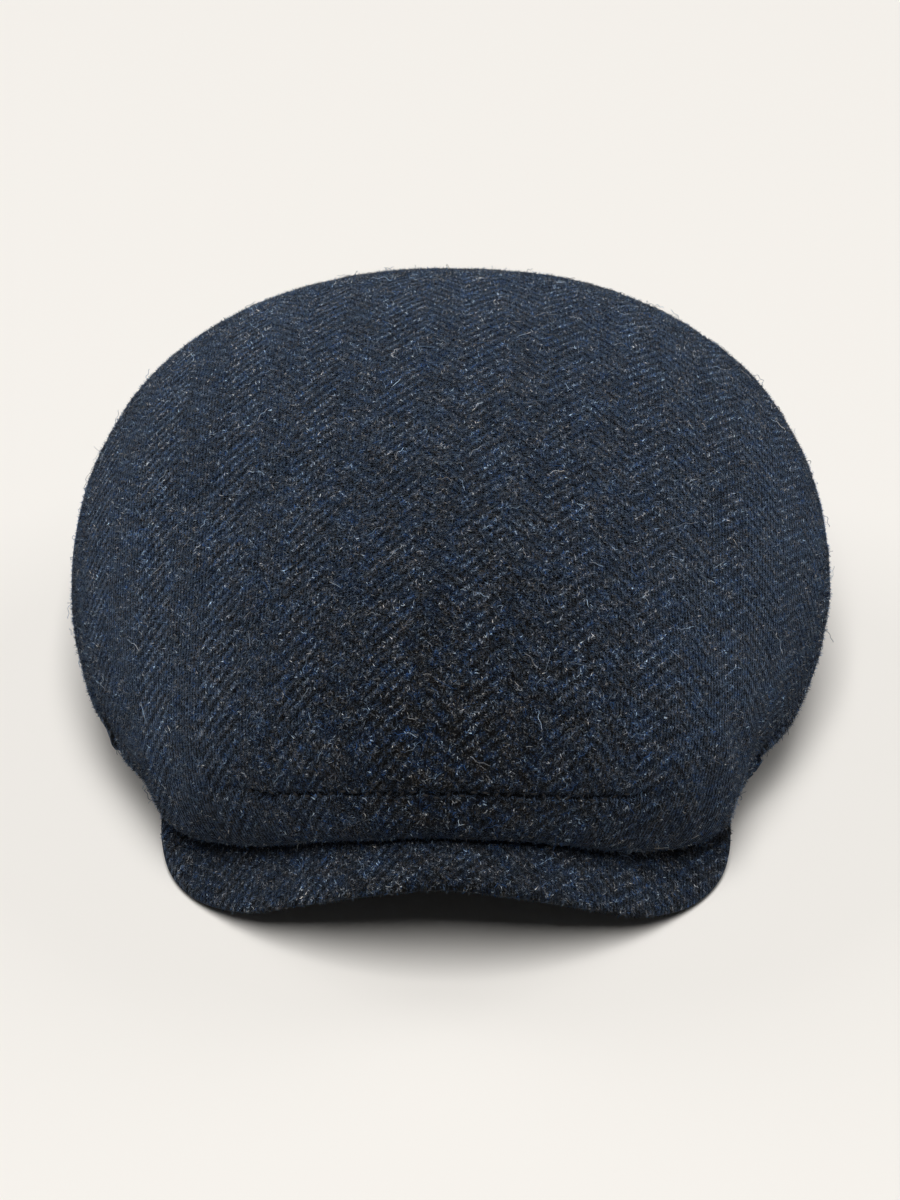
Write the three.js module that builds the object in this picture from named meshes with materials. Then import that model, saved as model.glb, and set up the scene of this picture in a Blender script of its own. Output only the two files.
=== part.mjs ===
// A wool flat cap with a short curved peak. It rests on a table by its hem and by the corners of its peak.
// Millimetres, +Z up. The peak points to -Y, and +X is on the right of somebody who faces the peak.
// The cap is sewn from four pieces: one top panel that covers the crown and folds under at the front,
// two side panels that hang from the seam round the crown down to the hem, and the peak.
import * as THREE from "three";
import { mergeVertices } from "three/addons/utils/BufferGeometryUtils.js";

// Head opening, an oval inside the hem for a head of about 58 cm round.
const OPENING_WIDTH = 162;
const OPENING_LENGTH = 204;

// Crown.
const CROWN_HEIGHT = 97; // table to the highest point
const SIDE_OVERHANG = 39; // from the opening out to the crown's widest line, at the side
const SEAM_HEIGHT = 60; // table to the seam between top and side panels, at the back
const TOP_SETBACK = 22; // how far the highest point lies behind the opening's middle
const CLOTH = 2.2; // thickness of the lined cloth
const FRONT_LIFT = 36; // table to the hem, at the middle of the front

// Peak.
const PEAK_LENGTH = 37; // from the opening to the peak's edge, at the middle
const PEAK_EDGE_HEIGHT = 33; // table to the top of the edge, at the middle
const PEAK_THICKNESS = 3;
const PEAK_BOW = 1.5; // how far the peak bulges up between hem and edge
const PEAK_END = 66; // where the peak runs out, in degrees round the opening

// Seams and stitching.
const CLEARANCE = 0.3; // left between two pieces that are sewn together
const PEAK_GAP = 0.5; // left between the peak and the cloth that lies on it
const SIDE_TIP = 45; // where a side panel starts, in degrees round the opening
const SIDE_FULL = 65; // where a side panel has its whole height, in degrees round the opening
const STITCH_RISE = 13; // the stitched line's distance from the fold at the front
const STITCH_DEPTH = 0.9; // how deep the stitches pull the cloth in
const STITCH_WIDTH = 3; // half the width of the groove that they make
const STITCH_END = 40; // where the stitched line runs out, in degrees round the opening

// Stations round the opening, in degrees from the front. Each holds shares of the sizes above: seamOut of
// SIDE_OVERHANG, seamHeight of SEAM_HEIGHT, hemHeight of FRONT_LIFT, peakOut of PEAK_LENGTH and peakHeight
// of PEAK_EDGE_HEIGHT. Both halves of the cap use the same rows.
const STATIONS = [
  { around: 0, seamOut: 0.56, seamHeight: 0.65, hemHeight: 1, peakOut: 1, peakHeight: 1 },
  { around: 16, seamOut: 0.6, seamHeight: 0.61, hemHeight: 0.96, peakOut: 1.03, peakHeight: 0.68 },
  { around: 30, seamOut: 0.73, seamHeight: 0.49, hemHeight: 0.82, peakOut: 1.09, peakHeight: 0.17 },
  { around: 42, seamOut: 0.87, seamHeight: 0.39, hemHeight: 0.6, peakOut: 1.04, peakHeight: 0.06 },
  { around: 52, seamOut: 0.89, seamHeight: 0.38, hemHeight: 0.42, peakOut: 0.7, peakHeight: 0.27 },
  { around: 62, seamOut: 0.92, seamHeight: 0.41, hemHeight: 0.26, peakOut: 0.32, peakHeight: 0.3 },
  { around: 70, seamOut: 0.95, seamHeight: 0.47, hemHeight: 0.1, peakOut: 0.1, peakHeight: 0.2 },
  { around: 80, seamOut: 0.97, seamHeight: 0.56, hemHeight: 0, peakOut: 0, peakHeight: 0 },
  { around: 90, seamOut: 0.98, seamHeight: 0.67, hemHeight: 0, peakOut: 0, peakHeight: 0 },
  { around: 108, seamOut: 0.97, seamHeight: 0.81, hemHeight: 0, peakOut: 0, peakHeight: 0 },
  { around: 128, seamOut: 0.9, seamHeight: 0.92, hemHeight: 0, peakOut: 0, peakHeight: 0 },
  { around: 150, seamOut: 0.77, seamHeight: 0.98, hemHeight: 0, peakOut: 0, peakHeight: 0 },
  { around: 180, seamOut: 0.62, seamHeight: 1, hemHeight: 0, peakOut: 0, peakHeight: 0 },
];

// Soft dents and swellings of the cloth. side is 1 for +X and -1 for -X, around is in degrees, turn runs
// from 0 at the top through 1 at the seam to 2 at the hem, wideAround and wideTurn are the reach each way.
// deep is how far the cloth goes in, as a share of SIDE_OVERHANG, and negative swells out.
const FOLDS = [
  { side: 1, around: 60, turn: 0.97, deep: 0.11, wideAround: 8, wideTurn: 0.26 },
  { side: 1, around: 70, turn: 0.92, deep: 0.06, wideAround: 10, wideTurn: 0.3 },
  { side: 1, around: 47, turn: 0.97, deep: -0.03, wideAround: 7, wideTurn: 0.2 },
  { side: -1, around: 56, turn: 1, deep: 0.04, wideAround: 9, wideTurn: 0.2 },
];

// Fineness of the model.
const STEP_AROUND = 5; // degrees between two columns of faces
const TOP_ROWS = [0, 0.13, 0.26, 0.38, 0.5, 0.6, 0.69, 0.76, 0.82, 0.86, 0.89, 0.92, 0.96, 1];
const UNDER_ROWS = [0, 0.12, 0.26, 0.42, 0.6, 0.8, 1];
const PEAK_ROWS = [0, 0.2, 0.4, 0.6, 0.8, 1];
const SAME_PLACE = 1e-4; // corners nearer than this are one corner

const CLOTH_COLOUR = 0x333844;
const CLOTH_ROUGHNESS = 0.95;

const { lerp, smoothstep, degToRad } = THREE.MathUtils;
const vector = (x, y, z) => new THREE.Vector3(x, y, z);

// A smooth curve through one column of the stations, level at both ends.
function through(column) {
  const rows = STATIONS;
  const last = rows.length - 1;
  const slope = (i) => {
    if (i === 0 || i === last) return 0;
    return (rows[i + 1][column] - rows[i - 1][column]) / (rows[i + 1].around - rows[i - 1].around);
  };
  return (around) => {
    const after = rows.findIndex((row) => row.around > around);
    const i = after < 1 ? last - 1 : after - 1;
    const span = rows[i + 1].around - rows[i].around;
    const t = (around - rows[i].around) / span;
    const ease = t * t * (3 - 2 * t);
    const leave = slope(i) * span * t * (1 - t) ** 2;
    const arrive = slope(i + 1) * span * t * t * (t - 1);
    return lerp(rows[i][column], rows[i + 1][column], ease) + leave + arrive;
  };
}

const seamOutShare = through("seamOut");
const seamHeightShare = through("seamHeight");
const hemHeightShare = through("hemHeight");
const peakOutShare = through("peakOut");
const peakHeightShare = through("peakHeight");

const seamOut = (around) => seamOutShare(around) * SIDE_OVERHANG;
const seamHeight = (around) => seamHeightShare(around) * SEAM_HEIGHT;
const hemHeight = (around) => Math.max(0, hemHeightShare(around) * FRONT_LIFT);
const peakOut = (around) => Math.max(0, peakOutShare(around) * PEAK_LENGTH);
const peakEdge = (around) => Math.max(CLOTH, peakHeightShare(around) * PEAK_EDGE_HEIGHT);

// The point that lies out millimetres outside the opening, at an angle from -180 to 180 degrees round it.
function fromOpening(angle, out, height) {
  const [a, b] = [OPENING_WIDTH / 2, OPENING_LENGTH / 2];
  const [s, c] = [Math.sin(degToRad(angle)), Math.cos(degToRad(angle))];
  const length = Math.hypot(s / a, c / b);
  return vector(a * s + (s / a / length) * out, -b * c - (c / b / length) * out, height);
}

// Height of the peak's upper face.
function peakTop(around, out) {
  const t = Math.min(out / Math.max(peakOut(around), 1), 1);
  const root = hemHeight(around) - PEAK_GAP;
  return lerp(root, peakEdge(around), t) + PEAK_BOW * 4 * t * (1 - t);
}

// The crown's outer face under the seam, as out and height, from the seam at 0 to the hem at 1. At the
// front it folds back over the peak. At the sides and the back it hangs and turns in to the hem.
function underSeam(around, t) {
  const [out, top, hem] = [seamOut(around), seamHeight(around), hemHeight(around)];
  const front = 1 - smoothstep(around, 42, 66);
  const drop = top - hem;
  const fold = lerp(CLOTH, out, 0.75);
  const start = new THREE.Vector2(out, top);
  const bulge = new THREE.Vector2(out, lerp(top - drop * 0.5, peakTop(around, out) + PEAK_GAP, front));
  const tuck = new THREE.Vector2(
    lerp(CLOTH, fold, front),
    lerp(hem + drop * 0.45, peakTop(around, fold) + PEAK_GAP, front),
  );
  const end = new THREE.Vector2(CLOTH, hem);
  const point = new THREE.CubicBezierCurve(start, bulge, tuck, end).getPoint(t);
  const over = 1 - smoothstep(point.x, peakOut(around), peakOut(around) + PEAK_THICKNESS);
  const beside = 1 - smoothstep(around, PEAK_END, PEAK_END + STEP_AROUND);
  const lift = Math.max(0, peakTop(around, point.x) + PEAK_GAP - point.y);
  point.y += lift * over * beside;
  return point;
}

// The crown's outer face without folds. turn runs from 0 at the top through 1 at the seam to 2 at the hem.
function plainCrown(angle, turn) {
  const around = Math.abs(angle);
  if (turn > 1) {
    const under = underSeam(around, turn - 1);
    return fromOpening(angle, under.x, under.y);
  }
  const seam = fromOpening(angle, seamOut(around), seamHeight(around));
  const out = Math.sin(degToRad(turn * 90));
  const up = Math.cos(degToRad(turn * 90));
  return vector(seam.x * out, lerp(TOP_SETBACK, seam.y, out), lerp(seam.z, CROWN_HEIGHT, up));
}

function normalOf(surface, angle, turn) {
  const step = 0.01;
  if (turn < step) return vector(0, 0, 1);
  const down = surface(angle, Math.min(turn + step, 2)).sub(surface(angle, turn - step));
  const round = surface(angle + 1, turn).sub(surface(angle - 1, turn));
  return down.cross(round).normalize();
}

// How far the cloth is drawn in by folds and by the stitched line.
function drawnIn(angle, turn) {
  const around = Math.abs(angle);
  const bump = (x) => Math.exp(-2 * x * x);
  let depth = 0;
  for (const fold of FOLDS.filter((row) => row.side === Math.sign(angle))) {
    const near = bump((around - fold.around) / fold.wideAround) * bump((turn - fold.turn) / fold.wideTurn);
    depth += fold.deep * SIDE_OVERHANG * near;
  }
  const quarter = (Math.PI / 2) * (CROWN_HEIGHT - seamHeight(around));
  const fromStitch = (1 - turn) * quarter - STITCH_RISE;
  const sewn = 1 - smoothstep(around, STITCH_END - 8, STITCH_END);
  return depth + STITCH_DEPTH * sewn * bump(fromStitch / STITCH_WIDTH);
}

function crownOuter(angle, turn) {
  return plainCrown(angle, turn).addScaledVector(normalOf(plainCrown, angle, turn), -drawnIn(angle, turn));
}

// The inner face lies one thickness of cloth further in. At the sides and the back the hem is cut level.
function crownInner(angle, turn) {
  const normal = normalOf(crownOuter, angle, turn);
  if (turn === 2) normal.setZ(normal.z * (hemHeight(Math.abs(angle)) / FRONT_LIFT)).normalize();
  return crownOuter(angle, turn).addScaledVector(normal, -CLOTH);
}

// Where the top panel ends: at the hem across the front, and at the seam round the sides and the back.
const topEnd = (around) => 2 - smoothstep(around, SIDE_TIP, SIDE_FULL);

// A closed wall between two faces. Both faces are functions of a column and a row, and loop joins the last
// column to the first. Corners that fall together leave no empty triangles.
function wall(name, outer, inner, columns, rows, loop) {
  const positions = [];
  const triangle = (...corners) => {
    const [a, b, c] = corners;
    if (Math.min(a.distanceTo(b), b.distanceTo(c), c.distanceTo(a)) < SAME_PLACE) return;
    corners.forEach((corner) => positions.push(corner.x, corner.y, corner.z));
  };
  const quad = (a, b, c, d) => {
    triangle(a, b, c);
    triangle(a, c, d);
  };
  const grid = (face) => columns.map((column) => rows.map((row) => face(column, row)));
  const [out, inn] = [grid(outer), grid(inner)];
  const last = columns.length - 1;
  const end = rows.length - 1;
  const next = (i) => (loop && i === last ? 0 : i + 1);
  for (let i = 0; i < (loop ? last + 1 : last); i += 1) {
    const k = next(i);
    for (let j = 0; j < end; j += 1) {
      quad(out[i][j], out[i][j + 1], out[k][j + 1], out[k][j]);
      quad(inn[i][j], inn[k][j], inn[k][j + 1], inn[i][j + 1]);
    }
    quad(out[i][0], out[k][0], inn[k][0], inn[i][0]);
    quad(out[i][end], inn[i][end], inn[k][end], out[k][end]);
  }
  for (let j = 0; j < end && !loop; j += 1) {
    quad(out[0][j], inn[0][j], inn[0][j + 1], out[0][j + 1]);
    quad(out[last][j], out[last][j + 1], inn[last][j + 1], inn[last][j]);
  }
  const geometry = new THREE.BufferGeometry();
  geometry.setAttribute("position", new THREE.Float32BufferAttribute(positions, 3));
  const closed = mergeVertices(geometry, SAME_PLACE);
  closed.computeVertexNormals();
  const finish = { color: CLOTH_COLOUR, roughness: CLOTH_ROUGHNESS, metalness: 0 };
  const material = new THREE.MeshStandardMaterial(finish);
  const mesh = new THREE.Mesh(closed, material);
  mesh.name = name;
  return mesh;
}

// The columns of faces on one half of the cap, in degrees from the front. All pieces share them.
const even = Array.from({ length: Math.round(180 / STEP_AROUND) + 1 }, (_, i) => i * STEP_AROUND);
const columns = [...new Set([...even, SIDE_TIP, SIDE_FULL, PEAK_END])].sort((a, b) => a - b);
const mirrored = (half) => half.filter((around) => around > 0).reverse().map((around) => -around);
const bothSides = (half) => [...mirrored(half), ...half];

// The top panel. Rows up to 1 lie on the crown, and rows past 1 run under it to the panel's edge.
function topPanel() {
  const rows = [...TOP_ROWS, ...UNDER_ROWS.slice(1).map((row) => 1 + row)];
  const turnOf = (angle, row) => (row > 1 ? lerp(1, topEnd(Math.abs(angle)), row - 1) : row);
  const outer = (angle, row) => crownOuter(angle, turnOf(angle, row));
  const inner = (angle, row) => crownInner(angle, turnOf(angle, row));
  return wall("top_panel", outer, inner, bothSides(columns).slice(0, -1), rows, true);
}

// A side panel, from its tip at the temple to the seam at the middle of the back.
function sidePanel(name, side) {
  const backSeam = THREE.MathUtils.radToDeg(CLEARANCE / OPENING_WIDTH);
  const turnOf = (angle, row) => {
    const around = Math.abs(angle);
    const length = plainCrown(angle, 1).distanceTo(plainCrown(angle, 2));
    return lerp(Math.min(topEnd(around) + CLEARANCE / length, 2), 2, row);
  };
  const outer = (angle, row) => crownOuter(angle, turnOf(angle, row));
  const inner = (angle, row) => crownInner(angle, turnOf(angle, row));
  const behind = columns.filter((around) => around > SIDE_TIP + 1 && around < 180);
  const angles = [SIDE_TIP + 1, ...behind, 180 - backSeam].map((around) => side * around);
  return wall(name, outer, inner, side > 0 ? angles : angles.reverse(), UNDER_ROWS, false);
}

// The peak, flattened where its corners rest on the table.
function peak() {
  const upper = (angle, share) => {
    const out = share * peakOut(Math.abs(angle));
    return fromOpening(angle, out, peakTop(Math.abs(angle), out));
  };
  const lower = (angle, share) => {
    const inside = Math.min(Math.max(share, 0.02), 0.98);
    const along = upper(angle, inside + 0.01).sub(upper(angle, inside - 0.01));
    const round = upper(angle + 1, inside).sub(upper(angle - 1, inside));
    const point = upper(angle, share).addScaledVector(along.cross(round).normalize(), -PEAK_THICKNESS);
    return point.setZ(Math.max(0, point.z));
  };
  const angles = bothSides(columns.filter((around) => around <= PEAK_END));
  return wall("peak", upper, lower, angles, PEAK_ROWS, false);
}

const cap = new THREE.Group();
cap.add(topPanel(), sidePanel("side_panel_left", -1), sidePanel("side_panel_right", 1), peak());
const box = new THREE.Box3().setFromObject(cap);
cap.position.y = -(box.min.y + box.max.y) / 2;

export default cap;
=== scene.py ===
# %% [markdown]
# A wool flat cap. The real one is sewn from thick herringbone cloth: a big top panel that folds over the
# front, two side panels under it, and a short curved peak. It could be modelled anew in Blender, but then it
# might not match the solids that the physics uses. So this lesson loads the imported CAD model, works every
# piece out from it, and adds the softness, seams, weave and loose fibres of the cloth.

# %% Load the frame
import math
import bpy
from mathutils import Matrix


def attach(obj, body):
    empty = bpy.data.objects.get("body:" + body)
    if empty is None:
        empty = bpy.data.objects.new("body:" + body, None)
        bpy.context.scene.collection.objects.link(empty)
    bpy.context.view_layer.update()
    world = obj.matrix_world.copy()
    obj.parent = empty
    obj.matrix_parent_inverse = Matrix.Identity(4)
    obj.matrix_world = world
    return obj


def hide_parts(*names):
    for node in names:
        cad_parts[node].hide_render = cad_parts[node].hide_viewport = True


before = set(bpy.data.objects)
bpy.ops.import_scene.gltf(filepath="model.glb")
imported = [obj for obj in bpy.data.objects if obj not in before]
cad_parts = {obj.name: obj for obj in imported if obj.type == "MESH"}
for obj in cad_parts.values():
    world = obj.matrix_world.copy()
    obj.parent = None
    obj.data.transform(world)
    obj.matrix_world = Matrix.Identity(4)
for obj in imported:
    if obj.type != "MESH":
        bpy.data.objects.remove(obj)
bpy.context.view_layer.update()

from types import SimpleNamespace

import bmesh
import bpy
import numpy as np
from mathutils import Matrix, Vector, kdtree, noise
from mathutils.bvhtree import BVHTree

MM = 0.001

# %% [markdown]
# The camera looks down on the cap from the front. A short lens close by would make the peak look large, so a
# long lens from farther off is used, as for a photograph of a product. The wanted scale in the middle of the
# picture gives its length.

# %% Camera
VIEW_ELEVATION = math.radians(38)
VIEW_TURN = math.radians(-1)
DISTANCE = 1050 * MM
PIXELS_PER_MM = 3.22
FRAME_HEIGHT = 1200
SENSOR_HEIGHT = 24
AIM = Vector((0, -4, 34.9)) * MM

camera_data = bpy.data.cameras.new("camera")
camera_data.sensor_fit = "VERTICAL"
camera_data.sensor_height = SENSOR_HEIGHT
camera_data.lens = PIXELS_PER_MM * DISTANCE / MM / FRAME_HEIGHT * SENSOR_HEIGHT
camera = bpy.data.objects.new("camera", camera_data)
bpy.context.scene.collection.objects.link(camera)
level = math.cos(VIEW_ELEVATION)
look = Vector((math.sin(VIEW_TURN) * level, math.cos(VIEW_TURN) * level, -math.sin(VIEW_ELEVATION)))
camera.location = AIM - look * DISTANCE
camera.rotation_euler = look.to_track_quat("-Z", "Y").to_euler()
bpy.context.scene.camera = camera
print("lens:", round(camera_data.lens, 1), "mm")

# %% [markdown]
# The cap lies on a pale table. A curved backdrop would do as well, but from above a single flat face, much
# wider than the view, looks the same and is simpler.

# %% Table
TABLE_COLOUR = (0.875, 0.845, 0.8)
TABLE_HALF = 12.0

table_mesh = bmesh.new()
bmesh.ops.create_grid(table_mesh, x_segments=1, y_segments=1, size=TABLE_HALF)
mesh = bpy.data.meshes.new("table")
table_mesh.to_mesh(mesh)
table_mesh.free()
table = bpy.data.objects.new("table", mesh)
bpy.context.scene.collection.objects.link(table)

table_paint = bpy.data.materials.new("table_paint")
table_paint.use_nodes = True
table_shader = table_paint.node_tree.nodes["Principled BSDF"]
table_shader.inputs["Base Color"].default_value = (*TABLE_COLOUR, 1)
table_shader.inputs["Roughness"].default_value = 0.9
table_shader.inputs["Specular IOR Level"].default_value = 0.1
mesh.materials.append(table_paint)
print("table:", 2 * TABLE_HALF, "m wide")

# %% [markdown]
# A studio lights wool with large soft lamps, because small ones would make every fibre throw a hard shadow.
# The main one hangs high above and a little in front. It
# is longer from front to back than from side to side, so the shade is soft in front of the peak and stays
# close beside the crown. Two weaker lamps behind brighten the cap's sides and back rim, and a dim sky keeps
# the darkest folds from going black.

# %% Light
LAMPS = {
    "lamp_high": {"place": (-0.1, -1.4, 6), "width": 3.1, "length": 5.0, "power": 370},
    "lamp_back_left": {"place": (-4.1, 3.1, 3.0), "width": 3, "length": 3, "power": 66},
    "lamp_back_right": {"place": (4.1, 3.1, 3.0), "width": 3, "length": 3, "power": 66},
}
SKY_COLOUR = (1.0, 0.99, 0.97, 1)
SKY_STRENGTH = 0.045


def area_lamp(name, place, width, length, power):
    """A soft lamp at place that shines at the cap. Sizes are in metres and power in watts."""
    data = bpy.data.lights.new(name, "AREA")
    data.shape = "RECTANGLE"
    data.size = width
    data.size_y = length
    data.energy = power
    lamp = bpy.data.objects.new(name, data)
    bpy.context.scene.collection.objects.link(lamp)
    lamp.location = place
    lamp.rotation_euler = (-Vector(place)).to_track_quat("-Z", "Y").to_euler()


for name, lamp in LAMPS.items():
    area_lamp(name, **lamp)

world = bpy.data.worlds.new("sky")
world.use_nodes = True
sky = world.node_tree.nodes["Background"]
sky.inputs["Color"].default_value = SKY_COLOUR
sky.inputs["Strength"].default_value = SKY_STRENGTH
bpy.context.scene.world = world
bpy.context.scene.view_settings.view_transform = "Standard"

# %% [markdown]
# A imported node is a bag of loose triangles. Remeshing would close it up but lose its clean rows of faces. So
# a copy is welded, its triangles are paired up into four-sided faces again, and only then is it smoothed.
# The cloth pieces are thin walls. Only their outer face is kept here, because folds and seams are easier to
# press into a single sheet, and a Solidify modifier puts the thickness back later.

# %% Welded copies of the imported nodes
WELD = 0.002 * MM
SHARP_RIM = math.radians(40)
PAIR_ANGLE = math.radians(50)


def welded(node):
    """A bmesh of a node's faces, welded and with its triangles paired into four-sided faces."""
    bm = bmesh.new()
    bm.from_mesh(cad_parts[node].data)
    bmesh.ops.remove_doubles(bm, verts=bm.verts, dist=WELD)
    bmesh.ops.join_triangles(bm, faces=bm.faces, cmp_seam=False, cmp_sharp=False, cmp_uvs=False,
                             cmp_vcols=False, cmp_materials=False, angle_face_threshold=PAIR_ANGLE,
                             angle_shape_threshold=PAIR_ANGLE)
    return bm


def keep_outer_face(bm, seed):
    """Deletes all faces that can't be reached from the seed face without crossing a sharp rim."""
    reached = {seed}
    queue = [seed]
    while queue:
        for edge in queue.pop().edges:
            for other in edge.link_faces:
                if other not in reached and edge.calc_face_angle(0) < SHARP_RIM:
                    reached.add(other)
                    queue.append(other)
    rest = [face for face in bm.faces if face not in reached]
    bmesh.ops.delete(bm, geom=rest, context="FACES")


def as_object(bm, name):
    """Puts a bmesh into a new object at the origin, with smooth shading."""
    for face in bm.faces:
        face.smooth = True
    mesh = bpy.data.meshes.new(name)
    bm.to_mesh(mesh)
    bm.free()
    piece = bpy.data.objects.new(name, mesh)
    bpy.context.scene.collection.objects.link(piece)
    return piece


print("packed nodes:", sorted(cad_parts))

# %% [markdown]
# The facets of the CAD model are rounded off with a subdivision surface, which keeps the outline and the
# rows of faces. The modifier is baked into the mesh at once, because the folds are pressed into its result.

# %% Smoothing
def bake_modifiers(piece):
    """Replaces a piece's mesh by what its modifiers make of it."""
    graph = bpy.context.evaluated_depsgraph_get()
    new = bpy.data.meshes.new_from_object(piece.evaluated_get(graph))
    old = piece.data
    piece.modifiers.clear()
    piece.data = new
    bpy.data.meshes.remove(old)
    new.name = piece.name


def smooth(piece, levels):
    """Rounds the facets off with a subdivision surface."""
    modifier = piece.modifiers.new("smooth", "SUBSURF")
    modifier.levels = levels
    modifier.render_levels = levels
    bake_modifiers(piece)
    print(piece.name, "smoothed to", len(piece.data.polygons), "faces")


def outer_sheet(node, seed_of):
    """The outer face of a cloth node as a smooth single sheet. seed_of is greatest on an outer face."""
    bm = welded(node)
    keep_outer_face(bm, max(bm.faces, key=lambda face: seed_of(face.calc_center_median())))
    piece = as_object(bm, node + "_cloth")
    smooth(piece, LEVELS)
    return piece


LEVELS = 2

# %% [markdown]
# The three cloth sheets. The seed of the top panel is the face at the very top. A side panel's outer face
# stands farther out than its inner face, so its seed is the face that is farthest from the middle.

# %% Cloth sheets
top = outer_sheet("top_panel", lambda centre: centre.z)
left = outer_sheet("side_panel_left", lambda centre: centre.xy.length)
right = outer_sheet("side_panel_right", lambda centre: centre.xy.length)

# %% [markdown]
# Vertices could be moved one by one, but they are quicker and easier to move as one big array. These helpers
# read and write a mesh's places and normals.

# %% Reading and moving vertices
def places(mesh):
    """The vertex places, one row each."""
    flat = np.empty(len(mesh.vertices) * 3)
    mesh.vertices.foreach_get("co", flat)
    return flat.reshape(-1, 3)


def corner_places(mesh):
    """The places of the face corners, one row each."""
    corner = np.empty(len(mesh.loops), dtype=int)
    mesh.loops.foreach_get("vertex_index", corner)
    return places(mesh)[corner]


def directions(mesh):
    """The vertex normals, one row each."""
    flat = np.empty(len(mesh.vertices) * 3)
    mesh.vertex_normals.foreach_get("vector", flat)
    return flat.reshape(-1, 3)


def move(mesh, inwards):
    """Moves each vertex against its normal by its share of inwards, in metres."""
    points = places(mesh) - directions(mesh) * inwards[:, None]
    mesh.vertices.foreach_set("co", points.ravel())
    mesh.update()


print("the top sheet's highest point:", round(places(top.data)[:, 2].max() / MM, 1), "mm")

# %% [markdown]
# A soft shape fades with the distance from a seam or a spot. A search tree finds the distances quickly, and
# three curves turn them into shapes: a bump, a smooth step and soft random waves.

# %% Distances and curves
def distance_to(points, spots):
    """Distance of each point from the nearest of the spots."""
    tree = kdtree.KDTree(len(spots))
    for index, spot in enumerate(spots):
        tree.insert(spot, index)
    tree.balance()
    return np.array([tree.find(point)[2] for point in points])


def edge_distance(mesh, chosen):
    """Distance of each vertex from the part of the open edge that is chosen."""
    bm = bmesh.new()
    bm.from_mesh(mesh)
    rim = [vert.co.copy() for vert in bm.verts if vert.is_boundary and chosen(vert.co)]
    bm.free()
    return distance_to(places(mesh), rim)


def bump(x):
    """1 at nought, falling smoothly to nothing at about 1.5 either way."""
    return np.exp(-2 * x * x)


def smoothstep(x):
    """0 below nought, 1 above one, and smooth between."""
    x = np.clip(x, 0, 1)
    return x * x * (3 - 2 * x)


def waves(points, size, seed):
    """Soft random waves between about -1 and 1, of the given size in metres."""
    shift = Vector((seed * 7.3, seed * 3.1, seed * 5.7))
    return np.array([noise.noise(Vector(point) / size + shift) for point in points])


print("bump at 0, 0.5 and 1.5:", [round(float(bump(x)), 2) for x in (0, 0.5, 1.5)])

# %% [markdown]
# Woven cloth hardly stretches along its threads, so the pattern has to be laid out flat, as a tailor lays
# out a cutting pattern. A projection from above would stretch the weave at the rim, so Blender's unfolding
# with the least stretch is used. The flat layout is then turned so that the lengthwise threads run the
# chosen way, scaled to real metres, and set with the middle of the front at nought.

# %% Cutting pattern
ACROSS, ALONG, UPWARDS = np.eye(3)


def lay_flat(piece):
    """Unfolds a sheet into a UV map named cloth, and returns the map's values round their middle."""
    mesh = piece.data
    mesh.uv_layers.new(name="cloth")
    bpy.context.view_layer.objects.active = piece
    piece.select_set(True)
    bpy.ops.object.mode_set(mode="EDIT")
    bpy.ops.mesh.select_all(action="SELECT")
    bpy.ops.uv.unwrap(method="MINIMUM_STRETCH", fill_holes=False, correct_aspect=False)
    bpy.ops.object.mode_set(mode="OBJECT")
    piece.select_set(False)
    flat = np.empty(len(mesh.loops) * 2)
    mesh.uv_layers["cloth"].data.foreach_get("uv", flat)
    flat = flat.reshape(-1, 2)
    return flat - flat.mean(axis=0)


def diagonals(values, quads):
    """The two diagonals of the four-sided faces that start at these corners."""
    return values[quads + 2] - values[quads], values[quads + 3] - values[quads + 1]


def unfold(piece, across, along):
    """Makes a sheet's UV map, in metres, with its directions as near as can be to two axes of the frame."""
    mesh = piece.data
    flat = lay_flat(piece)
    spot = corner_places(mesh)
    rise = spot @ along
    upright = np.linalg.lstsq(flat, rise - rise.mean(), rcond=None)[0]
    upright /= np.linalg.norm(upright)
    sideways = np.array([upright[1], -upright[0]])
    reach = spot @ across
    if np.sum(flat @ sideways * (reach - reach.mean())) < 0:
        sideways = -sideways
    turned = flat @ np.column_stack([sideways, upright])

    quads = np.array([p.loop_start for p in mesh.polygons if len(p.vertices) == 4])
    on_skin = np.linalg.norm(np.cross(*diagonals(spot, quads)), axis=1)
    on_flat = np.abs(np.linalg.det(np.stack(diagonals(turned, quads), 1)))
    turned *= math.sqrt(on_skin.sum() / on_flat.sum())

    summit = spot[np.argmax(spot[:, 2])] * (0, 1, 1)
    middle = turned[np.argmin(np.linalg.norm(spot - summit, axis=1))].copy()
    turned[:, 0] -= middle[0]
    mesh.uv_layers["cloth"].data.foreach_set("uv", turned.ravel())
    size = (turned.max(axis=0) - turned.min(axis=0)) / MM
    print(piece.name, "laid flat measures", round(size[0]), "by", round(size[1]), "mm")


# %% [markdown]
# The front of the crown rolls under in a soft fold and is sewn down onto the peak a little above it. A level
# cut through the skin would give a straight line of stitches, but the real line follows the fold. So it is
# found by walking down the skin to the fold, slice by slice, and back up again. It rises a little at both
# ends.

# %% Stitched line
CORE_HEIGHT = 44 * MM
FOLD_DOWN = -0.6
STITCH_RISE = 14 * MM
STITCH_END_RISE = 9.5 * MM
STITCH_HALF = 68 * MM
LINE_STEP = 1 * MM
FIRST_TURN = math.radians(55)
LAST_TURN = math.radians(150)
TURN_STEP = math.radians(0.25)


def search_tree(mesh):
    """A tree that finds where a ray meets a mesh, or the mesh's nearest place."""
    return BVHTree.FromPolygons([v.co for v in mesh.vertices], [p.vertices[:] for p in mesh.polygons])


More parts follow.
